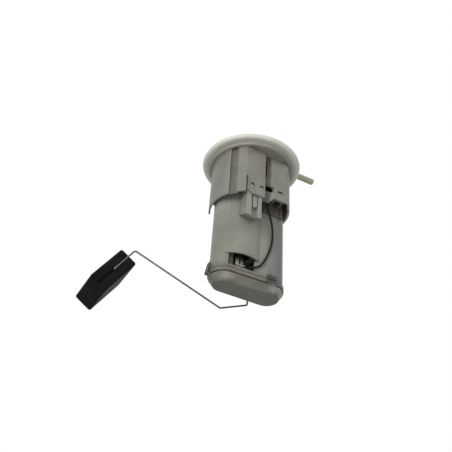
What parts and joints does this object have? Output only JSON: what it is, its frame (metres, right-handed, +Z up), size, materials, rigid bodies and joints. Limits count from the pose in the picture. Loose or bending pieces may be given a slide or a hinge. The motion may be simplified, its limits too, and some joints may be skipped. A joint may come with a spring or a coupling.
{
  "type": "fuel pump",
  "caption": "In-tank fuel pump module with a round tank flange, hose nipple, two-lobed canister with pump and filter, clipped bottom cap, and a float arm with a black float.",
  "frame": {"origin": "centre of the tank flange's rim underside, where the rim sits on the tank's opening", "axes": "+Z up, out of the tank along the flange's axis; +X along the canister's long axis, the way the outlet nipple points; +Y towards the level sender on the canister's back"},
  "size_m": [0.2547, 0.1442, 0.2334],
  "materials": {
    "flange_pom": "satin, off-white",
    "elbow_nylon": "satin, yellowed white",
    "skirt_pom": "satin, warm grey",
    "canister_pom": "satin, warm grey, stained",
    "cap_pom": "satin, warm grey, stained",
    "lid_pom": "satin, warm grey",
    "clear_hose": "dull",
    "fuel_rubber": "dull",
    "tinned_brass": "bright tin",
    "zinc_steel": "zinc plated",
    "pump_aluminium": "die cast",
    "impeller_phenolic": "matt brown",
    "bronze": "sintered",
    "ground_steel": "ground",
    "core_steel": "laminated",
    "copper": "enamelled",
    "ferrite": "matt sintered",
    "cover_pps": "satin black",
    "carbon": "matt",
    "valve_plastic": "satin",
    "spring_steel": "bright",
    "black_lead": "satin black sheath",
    "red_lead": "satin sheath",
    "blue_lead": "satin sheath",
    "plug_nylon": "satin",
    "filter_paper": "pleated paper",
    "plate_plastic": "satin",
    "frame_nylon": "satin",
    "strainer_cloth": "woven",
    "sender_pom": "satin",
    "ceramic_card": "glazed with printed tracks",
    "holder_pom": "satin",
    "arm_steel": "drawn wire, dull bright",
    "float_rubber": "matt black closed foam"
  },
  "bodies": {
    "module": {"tank_flange": "flange_pom", "connector_pins": "tinned_brass", "outlet_elbow": "elbow_nylon", "outlet_hose": "clear_hose", "outlet_seal": "fuel_rubber", "bracket_skirt": "skirt_pom", "canister": "canister_pom", "bottom_cap": "cap_pom", "case_lid": "lid_pom", "pump_casing": "zinc_steel", "pump_cushion": "fuel_rubber", "inlet_cover": "pump_aluminium", "impeller_ring": "pump_aluminium", "chamber_plate": "pump_aluminium", "shaft_bushings": "bronze", "field_magnets": "ferrite", "end_cover": "cover_pps", "brushes": "carbon", "pump_terminals": "tinned_brass", "check_stop": "valve_plastic", "check_spring": "spring_steel", "ground_tab": "tinned_brass", "ground_clip": "tinned_brass", "ground_wire": "black_lead", "supply_wires": "red_lead", "sender_wires": "blue_lead", "wire_plug": "plug_nylon", "regulator_can": "zinc_steel", "regulator_cap": "zinc_steel", "regulator_spring": "spring_steel", "regulator_seal": "fuel_rubber", "filter_element": "filter_paper", "filter_end_plates": "plate_plastic", "strainer_frame": "frame_nylon", "inlet_strainer": "strainer_cloth", "sender_housing": "sender_pom", "sender_terminals": "tinned_brass", "resistor_card": "ceramic_card"},
    "float": {"float_arm": "arm_steel", "float_block": "float_rubber", "float_clip": "spring_steel", "arm_holder": "holder_pom", "wiper": "bronze"},
    "rotor": {"motor_shaft": "ground_steel", "armature_core": "core_steel", "armature_windings": "copper", "commutator": "copper", "impeller": "impeller_phenolic"},
    "check_poppet": {"check_valve": "valve_plastic"},
    "relief_poppet": {"regulator_valve": "bronze"}
  },
  "joints": [
    {"name": "float_swing", "type": "hinge", "parent": "module", "child": "float", "pos_m": [0.0185, 0.028, -0.109], "axis": [0, 1, 0], "range_deg": [0, 55]},
    {"name": "pump_spin", "type": "hinge", "parent": "module", "child": "rotor", "pos_m": [-0.014, -0.0016, -0.1], "axis": [0, 0, 1], "continuous": true},
    {"name": "check_lift", "type": "slide", "parent": "module", "child": "check_poppet", "axis": [0, 0, 1], "range_m": [0, 0.0015], "stiffness_N_per_m": 10, "springref_m": -0.002, "deforming": ["check_spring"]},
    {"name": "relief_lift", "type": "slide", "parent": "module", "child": "relief_poppet", "axis": [0, 0, -1], "range_m": [0, 0.001], "stiffness_N_per_m": 100, "springref_m": -0.003, "deforming": ["regulator_spring"]}
  ]
}
